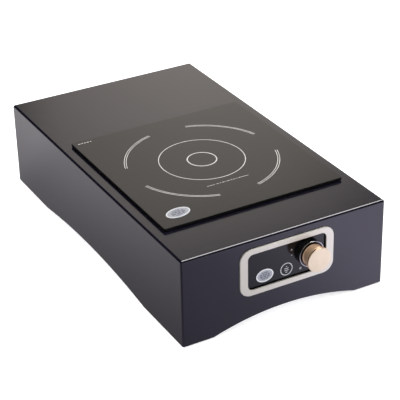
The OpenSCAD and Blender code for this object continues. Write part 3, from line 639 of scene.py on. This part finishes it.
def build_glass():
    """Glass plate with ground edges, standing on its black seal."""
    size = glass_hi - glass_lo
    place = facing_up((glass_lo.x + glass_hi.x) / 2, (glass_lo.y + glass_hi.y) / 2, glass_lo.z)
    bm = bmesh.new()
    levels = [(0.4 * MM, 0), (0, 0.4 * MM)] + quarter_round(0.8 * MM, size.z - 0.8 * MM, 4)
    plate_mesh(bm, place, size.x, size.y, 3 * MM, levels)
    plate = mesh_object("glass_plate", bm, 20)
    settle(plate, glass, nodes=["glass_top"])
    plate.data.materials.append(ground_edge)
    for face in plate.data.polygons:
        face.material_index = 0 if face.normal.z > 0.95 else 1

    w, length = seal_hi.x - seal_lo.x, seal_hi.y - seal_lo.y
    height = seal_hi.z - seal_lo.z
    place = facing_up((seal_lo.x + seal_hi.x) / 2, (seal_lo.y + seal_hi.y) / 2, seal_lo.z)
    section = [(0, 0, 0), (0, 0.3 * MM, height * 0.5), (0, 0, height),
               (1, 0, height), (1, -0.3 * MM, height * 0.5), (1, 0, 0)]
    bm = bmesh.new()
    outer = (w, length, SEAL_CORNER_R)
    inner = (w - 2 * SEAL_WIDTH, length - 2 * SEAL_WIDTH, SEAL_CORNER_R)
    frame_mesh(bm, place, outer, inner, section)
    settle(mesh_object("glass_seal_bead", bm), seal_rubber, nodes=["glass_seal"])


def build_zone_print():
    """The heating zone's rings and corner arcs, a line of dashes, and a row of dashes in the back corner."""
    place = facing_up(zone.x, zone.y, glass_hi.z)
    bm = bmesh.new()
    for radius, width in ((21.7, 1.8), (64.0, 1.3)):
        band_mesh(bm, place, radius * MM, width * MM, 0, 360, PRINT_HEIGHT, step=3)
    for middle in (45, 135, 225, 315):
        for radius in (111.5, 114.4):
            band_mesh(bm, place, radius * MM, 1.0 * MM, middle - 29, middle + 29, PRINT_HEIGHT)
    line_v = -78 * MM
    for start, end in ((-35, -22), (20, 33)):
        bar_mesh(bm, place, (start + end) / 2 * MM, line_v, (end - start) * MM, 0.8 * MM, PRINT_HEIGHT)
    for k in range(9):
        width = (3.2, 2.2, 3.8, 1.8)[k % 4] * MM
        bar_mesh(bm, place, (-18 + 4.5 * k) * MM, line_v, width, 1.3 * MM, PRINT_HEIGHT)
    corner = facing_up(glass_lo.x, glass_hi.y, glass_hi.z)
    for k in range(5):
        width = (3.6, 2.6, 3.4)[k % 3] * MM
        bar_mesh(bm, corner, (9.8 + 4.7 * k) * MM, -9 * MM, width, 2 * MM, PRINT_HEIGHT)
    settle(mesh_object("zone_print", bm), ring_print)


def build_oval_label(name, place, half_w, half_h, tilt=0.0):
    """A small silver oval with a plain rim and a few abstract strokes."""
    turned = lambda u, v, out: place(u * math.cos(tilt) - v * math.sin(tilt),
                                     u * math.sin(tilt) + v * math.cos(tilt), out)
    bm = bmesh.new()
    solid_oval(bm, turned, half_w, half_h, [(0, 0), (0, 0.08 * MM), (0.08 * MM, LABEL_FACE)])
    settle(mesh_object(name, bm), foil)
    raised = lambda u, v, out: turned(u, v, LABEL_FACE + out)
    rim = half_h * 0.12
    rings = []
    for grow, out in ((0, 0), (rim, 0), (rim, LABEL_INK), (0, LABEL_INK)):
        points = ellipse_outline(half_w * 0.97 - rim + grow, half_h * 0.97 - rim + grow)
        rings.append([raised(u, v, out) for u, v in points])
    bm = bmesh.new()
    loft(bm, rings, closed=True)
    settle(mesh_object(name + "_rim", bm), label_rim)
    bm = bmesh.new()
    for row, (reach, lift) in enumerate(((0.34, 0.44), (0.58, 0.14), (0.62, -0.16), (0.40, -0.46))):
        count = 3 + row % 2
        pitch = 2 * half_w * reach / count
        for k in range(count):
            u = pitch * (k - (count - 1) / 2)
            bar_mesh(bm, raised, u, half_h * lift, pitch * 0.78, half_h * 0.22, LABEL_INK)
    settle(mesh_object(name + "_strokes", bm), label_ink)


# ---------------------------------------------------------------- control panel

def build_bezel():
    """Brushed steel frame with softly broken edges."""
    w, h = bezel_hi.x - bezel_lo.x, bezel_hi.z - bezel_lo.z
    t = front_y - bezel_lo.y
    place = facing_front((bezel_lo.x + bezel_hi.x) / 2, front_y, (bezel_lo.z + bezel_hi.z) / 2)
    edge = 0.6 * MM
    section = [(0, 0, 0), (0, 0, t - edge), (0, 0.2 * MM, t - 0.2 * MM), (0, edge, t),
               (1, edge, t), (1, 0.2 * MM, t - 0.2 * MM), (1, 0, t - edge), (1, 0, 0)]
    outer = (w, h, 17 * MM)
    window = (w - 24.6 * MM, h - 17.2 * MM, 8 * MM)
    bm = bmesh.new()
    frame_mesh(bm, place, outer, window, section, steps=14)
    settle(mesh_object("bezel_frame", bm, 50), bezel_metal, nodes=["control_bezel"])


def build_panel():
    """Glossy panel behind the bezel, with its screened marks."""
    w, h = plate_hi.x - plate_lo.x, plate_hi.z - plate_lo.z
    face = facing_front(panel_mid.x, plate_lo.y, panel_mid.z)
    t = plate_hi.y - plate_lo.y
    edge = [(0.2 * MM, -t), (0, 0.2 * MM - t), (0, -0.3 * MM), (0.3 * MM, 0)]
    bm = bmesh.new()
    plate_mesh(bm, face, w, h, 4 * MM, edge)
    panel = mesh_object("panel_face", bm)
    settle(panel, panel_gloss, nodes=["panel_plate"])

    icon = facing_front(panel_mid.x + 0.4 * MM, plate_lo.y, panel_mid.z - 13.8 * MM)
    bm = bmesh.new()
    band_mesh(bm, icon, 9.2 * MM, 1.1 * MM, 0, 360, PANEL_INK, step=6)
    for v, reach in ((4.2, 1.0), (0.9, 3.4), (-2.0, 3.4), (-5.0, 1.6)):
        bar_mesh(bm, icon, 0, v * MM, 2 * reach * MM, 0.9 * MM, PANEL_INK)
    settle(mesh_object("panel_icon", bm), panel_print)

    dial = facing_front(knob_axis.x, plate_lo.y, knob_axis.z)
    bm = bmesh.new()
    for angle, width, radius in ((158, 5, 30.4), (174, 3.5, 28)):
        start, end = angle - width / 2, angle + width / 2
        band_mesh(bm, dial, radius * MM, 2.4 * MM, start, end, PANEL_INK, step=1)
    settle(mesh_object("dial_marks", bm), dial_print)
    badge = facing_front(panel_mid.x - 34.3 * MM, plate_lo.y, panel_mid.z - 13 * MM)
    build_oval_label("panel_label", badge, 13.8 * MM, 10.0 * MM)


def build_collar():
    """Fixed black collar with a bright rounded ring on its front edge."""
    face = facing_front(knob_axis.x, collar_hi.y, knob_axis.z)
    r = (collar_hi.x - collar_lo.x) / 2
    depth = collar_hi.y - collar_lo.y
    bore = 9 * MM
    profile = [(bore, 0), (r, 0), (r, depth - 0.3 * MM), (r - 0.3 * MM, depth),
               (r - 2.2 * MM, depth), (r - 2.8 * MM, depth - 0.6 * MM),
               (bore + 0.5 * MM, depth - 0.6 * MM), (bore, depth - 1.2 * MM)]
    bm = bmesh.new()
    lathe_mesh(bm, face, profile, closed=True)
    settle(mesh_object("collar_body", bm), collar_gloss, nodes=["knob_collar"])

    face = facing_front(knob_axis.x, ring_hi.y, knob_axis.z)
    half = (ring_hi.y - ring_lo.y) / 2
    middle = (ring_hi.x - ring_lo.x) / 2 - half
    turns = [2 * math.pi * k / 14 for k in range(14)]
    profile = [(middle + half * math.cos(t), half + half * math.sin(t)) for t in turns]
    bm = bmesh.new()
    lathe_mesh(bm, face, profile, closed=True)
    settle(mesh_object("collar_trim", bm, 60), chrome, nodes=["collar_ring"])


def knob_material_index(polygon):
    """0 for the flat face, 1 for the turned side, which gets a lighter copy of the metal as painted light,
    and 2 for the groove behind the face, which gets a dark copy as painted shade.
    """
    depth = polygon.center.y - knob_lo.y
    if GROOVE_SHADE_DEPTHS[0] < depth < GROOVE_SHADE_DEPTHS[1]:
        return 2
    if polygon.normal.y < -0.9 and depth < 1 * MM:
        return 0
    return 1


def build_knob():
    """Turned knob: narrow back rim, waist, widening side, groove and a flat face with a fine broken edge."""
    r = (knob_hi.x - knob_lo.x) / 2
    rim = r - 2.2 * MM
    length = knob_hi.y - knob_lo.y
    face = facing_front(knob_axis.x, knob_hi.y, knob_axis.z)
    back_rim = [(0, 0), (rim - 0.3 * MM, 0), (rim, 0.3 * MM), (rim, 1.3 * MM), (rim - 0.3 * MM, 1.6 * MM)]
    waist = [(rim - 0.8 * MM, 2.0 * MM), (rim - 0.8 * MM, 2.8 * MM), (rim - 0.3 * MM, 3.1 * MM)]
    side = [(rim, 3.4 * MM), (r - 0.25 * MM, length - 3.9 * MM), (r - 0.3 * MM, length - 3.6 * MM),
            (r - 0.6 * MM, length - 3.4 * MM)]
    groove = [(r - 2 * MM, length - 3.3 * MM), (r - 2 * MM, length - 1.7 * MM),
              (r - 0.1 * MM, length - 1.55 * MM), (r, length - 1.4 * MM)]
    edge = [(r - i, length - 0.5 * MM + o) for i, o in quarter_round(0.5 * MM, 0, 4)]
    bm = bmesh.new()
    lathe_mesh(bm, face, back_rim + waist + side + groove + edge + [(0, length)])
    knob = mesh_object("knob_body", bm, 30)
    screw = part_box("knob_set_screw")
    centre = (screw[0] + screw[1]) / 2
    bm = bmesh.new()
    bore = [(0, 0), (SET_SCREW_R, 0), (SET_SCREW_R, r), (0, r)]
    lathe_mesh(bm, facing_down(centre.x, centre.y, screw[1].z), bore, 32)
    cut(knob, mesh_object("cutter", bm, even=False))
    shade(knob, 30)
    flatten_normals(knob)
    settle(knob, champagne, body="knob", nodes=["control_knob"])
    # A lighter copy of the metal on the turned side: painted light.
    knob.data.materials.append(champagne_side_painted_light)
    # A dark copy of the metal in the groove: painted shade.
    knob.data.materials.append(champagne_groove_painted_shade)
    for polygon in knob.data.polygons:
        polygon.material_index = knob_material_index(polygon)


# ---------------------------------------------------------------- underside

def build_foot(node):
    """Moulded foot: two grip rings under a tapered, ribbed body."""
    lo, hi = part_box(node)
    place = facing_up((lo.x + hi.x) / 2, (lo.y + hi.y) / 2, lo.z)
    height = hi.z - lo.z
    r_top = (hi.x - lo.x) / 2
    r_low = r_top - 1.5 * MM
    bore = 2.6 * MM
    sink = 6 * MM
    profile = [(bore, height), (bore, 8 * MM), (sink, 8 * MM), (sink, 0.4 * MM), (sink + 0.4 * MM, 0),
               (sink + 1.6 * MM, 0), (sink + 2.1 * MM, 0.8 * MM), (sink + 2.6 * MM, 0.8 * MM),
               (sink + 3.1 * MM, 0), (r_low - 1 * MM, 0)]
    profile += [(r_low - 1 * MM + o, i) for i, o in reversed(quarter_round(1 * MM, 0, 4))]
    for k in range(3):
        z = (5 + 4 * k) * MM
        radius = r_low + (r_top - r_low) * z / height
        profile += [(radius, z), (radius - 0.4 * MM, z + 0.4 * MM), (radius - 0.4 * MM, z + 1 * MM),
                    (radius, z + 1.4 * MM)]
    profile += [(r_top, height - 1 * MM), (r_top - 0.3 * MM, height)]
    bm = bmesh.new()
    lathe_mesh(bm, place, profile, 64, closed=True)
    settle(mesh_object(node + "_rubber", bm), rubber, nodes=[node])


# ---------------------------------------------------------------- stage: floor, cards, lights and camera

def card(name, corners, material):
    """A studio card that only glossy surfaces see."""
    bm = bmesh.new()
    bm.faces.new([bm.verts.new(c) for c in corners])
    obj = mesh_object(name, bm, even=False)
    obj.data.materials.append(material)
    obj.visible_camera = False
    obj.visible_diffuse = False
    obj.visible_shadow = False
    obj.visible_transmission = False


def build_floor():
    """Plain pale floor."""
    bm = bmesh.new()
    bmesh.ops.create_grid(bm, x_segments=1, y_segments=1, size=8)
    floor = mesh_object("floor", bm)
    n = Nodes("pale_floor", (0.86, 0.86, 0.86), 0.9)
    n.bsdf.inputs["Specular IOR Level"].default_value = 0.0
    n.bsdf.inputs["Emission Color"].default_value = (1, 1, 1, 1)
    n.bsdf.inputs["Emission Strength"].default_value = 0.50
    floor.data.materials.append(n.material)
    floor.location.z = cad_bounds[0][2] - 0.2 * MM


def build_lights():
    """An overhead softbox to the front right, and a pale surround that fills the shade."""
    world = bpy.data.worlds.new("surround")
    world.use_nodes = True
    world.node_tree.nodes["Background"].inputs["Color"].default_value = (1.0, 0.99, 0.98, 1)
    world.node_tree.nodes["Background"].inputs["Strength"].default_value = 1.5
    world.cycles_visibility.glossy = False
    bpy.context.scene.world = world
    data = bpy.data.lights.new("softbox", "AREA")
    data.shape = "RECTANGLE"
    data.size = 1.0
    data.size_y = 1.5
    data.energy = 14
    data.color = (1.0, 0.98, 0.97)
    light = bpy.data.objects.new("softbox", data)
    light.location = (1.05, -0.35, 2.1)
    light.visible_glossy = False
    bpy.context.scene.collection.objects.link(light)


class Glow:
    """A glowing card whose strength changes with the place on it."""

    def __init__(self, name, color):
        self.material = bpy.data.materials.new(name)
        self.material.use_nodes = True
        self.tree = self.material.node_tree
        self.tree.nodes.clear()
        self.glow = self.tree.nodes.new("ShaderNodeEmission")
        self.glow.inputs["Color"].default_value = (*color, 1)
        out = self.tree.nodes.new("ShaderNodeOutputMaterial")
        self.tree.links.new(self.glow.outputs[0], out.inputs["Surface"])
        self.position = self.tree.nodes.new("ShaderNodeNewGeometry").outputs["Position"]

    def slope(self, direction, start, end, low, high):
        """Eases from one strength to another along a direction, in metres from the origin."""
        along = self.tree.nodes.new("ShaderNodeVectorMath")
        along.operation = "DOT_PRODUCT"
        along.inputs[1].default_value = direction
        self.tree.links.new(self.position, along.inputs[0])
        ease = self.tree.nodes.new("ShaderNodeMapRange")
        ease.interpolation_type = "SMOOTHSTEP"
        ease.inputs["From Min"].default_value = start
        ease.inputs["From Max"].default_value = end
        ease.inputs["To Min"].default_value = low
        ease.inputs["To Max"].default_value = high
        self.tree.links.new(along.outputs["Value"], ease.inputs["Value"])
        return ease.outputs["Result"]

    def join(self, operation, first, *others):
        """Multiplies or adds strengths."""
        total = first
        for other in others:
            node = self.tree.nodes.new("ShaderNodeMath")
            node.operation = operation
            self.tree.links.new(total, node.inputs[0])
            self.tree.links.new(other, node.inputs[1])
            total = node.outputs[0]
        return total

    def strength(self, source):
        """Sets the strength and hands back the finished material."""
        self.tree.links.new(source, self.glow.inputs["Strength"])
        return self.material


def build_back_card():
    """Back card behind the hob: even low down, with soft ends at the top and on both sides."""
    glow = Glow("back_card_glow", (1.0, 0.92, 0.845))
    y = 2.0
    low = glow.slope((0, 0, 1), 0.80, 1.65, 1.33, 1.13)
    top = glow.slope((0, 0, 1), 1.48, 1.92, 1.0, 0.10)
    left = glow.slope((1, 0, 0), 0.20, 1.15, 0.55, 1.06)
    edge = glow.slope((1, 0, 0), 0.34, 0.62, 0.0, 1.0)
    right = glow.slope((1, 0, 0), 1.35, 2.20, 1.0, 0.30)
    corners = [(-1.0, y, 0), (3.0, y, 0), (3.0, y, 2.0), (-1.0, y, 2.0)]
    card("back_card", corners, glow.strength(glow.join("MULTIPLY", low, top, left, edge, right)))


def build_top_card():
    """Overhead softbox that draws the bright line along the front fold."""
    glow = Glow("top_card_glow", (1.0, 0.98, 0.97))
    z = 2.0
    near = glow.slope((0, 1, 0), -0.40, -0.25, 0.0, 15.0)
    far = glow.slope((0, 1, 0), 0.95, 1.25, 1.0, 0.0)
    corners = [(0.45, -0.45, z), (1.6, -0.45, z), (1.6, 1.3, z), (0.45, 1.3, z)]
    card("top_card", corners, glow.strength(glow.join("MULTIPLY", near, far)))


def build_room_card():
    """Pale studio wall in front of the hob, seen only in its round metal parts."""
    glow = Glow("room_card_glow", (1.0, 0.97, 0.95))
    y = -3.0
    low = glow.slope((0, 0, 1), 0.9, 1.4, 0.0, 1.3)
    top = glow.slope((0, 0, 1), 1.9, 2.6, 1.0, 0.0)
    corners = [(-3, y, 0), (0.7, y, 0), (0.7, y, 2.6), (-3, y, 2.6)]
    card("room_card", corners, glow.strength(glow.join("MULTIPLY", low, top)))


def build_left_card():
    """Sheen on the left wall: floor that is dim beside the hob and bright beyond its back corner."""
    glow = Glow("left_card_glow", (1.0, 0.96, 1.0))
    near = glow.slope((-1, 0, 0), -case_lo.x - 0.02, -case_lo.x + 0.16, 0.43, 0.96)
    along = glow.slope((0, 1, 0), -0.45, 0.45, 0.55, 1.11)
    tilt = Vector((0.61, 0.79, 0))
    corner = tilt.dot(Vector((case_lo.x, case_hi.y, 0)))
    beyond = glow.slope(tilt, corner - 0.04, corner + 0.06, 0.0, 0.24)
    z = floor_card_z
    corners = [(-3, front_y, z), (case_lo.x, front_y, z), (case_lo.x, 3, z), (-3, 3, z)]
    strength = glow.join("ADD", glow.join("MULTIPLY", near, along), beyond)
    card("left_card", corners, glow.strength(strength))


def build_front_card():
    """Sheen on the front wall: floor that brightens from the left to the right."""
    glow = Glow("front_card_glow", (1.0, 0.955, 1.19))
    left = glow.slope((1, 0, 0), -0.30, -0.02, 0.18, 0.60)
    right = glow.slope((1, 0, 0), -0.06, 0.24, 0.0, 1.10)
    z = floor_card_z
    corners = [(-3, -3, z), (3, -3, z), (3, front_y, z), (-3, front_y, z)]
    card("front_card", corners, glow.strength(glow.join("ADD", left, right)))


def build_camera():
    """Camera at the photograph's angle, worked out in units of the case's width."""
    azimuth = math.radians(-28.5155)
    elevation = math.radians(28.9137)
    roll = math.radians(-1.3356)
    width = case_hi.x - case_lo.x
    foot = Vector(((case_lo.x + case_hi.x) / 2, (case_lo.y + case_hi.y) / 2, case_lo.z))
    place = foot + Vector((-2.7322, -5.1551, 3.3642)) * width
    back = Vector((math.sin(azimuth) * math.cos(elevation), -math.cos(azimuth) * math.cos(elevation),
                   math.sin(elevation)))
    right = Vector((0, 0, 1)).cross(back).normalized()
    up = back.cross(right)
    across = right * math.cos(roll) + up * math.sin(roll)
    up = up * math.cos(roll) - right * math.sin(roll)
    data = bpy.data.cameras.new("camera")
    data.sensor_width = 36
    data.lens = 127.36
    camera = bpy.data.objects.new("camera", data)
    camera.matrix_world = Matrix((
        (across.x, up.x, back.x, place.x), (across.y, up.y, back.y, place.y),
        (across.z, up.z, back.z, place.z), (0, 0, 0, 1)))
    bpy.context.scene.collection.objects.link(camera)
    bpy.context.scene.camera = camera


bpy.context.scene.view_settings.view_transform = "Standard"
build_camera()
finish_cad_nodes()
build_case()
build_glass()
build_zone_print()
glass_badge = facing_up(-106.2 * MM, case_lo.y + 110.5 * MM, glass_hi.z)
build_oval_label("glass_label", glass_badge, 19.4 * MM, 12.2 * MM, tilt=0.187)
build_bezel()
build_panel()
build_collar()
build_knob()
for foot_node in ("foot_front_left", "foot_front_right", "foot_back_left", "foot_back_right"):
    build_foot(foot_node)
build_floor()
build_lights()
build_back_card()
build_top_card()
build_room_card()
build_left_card()
build_front_card()
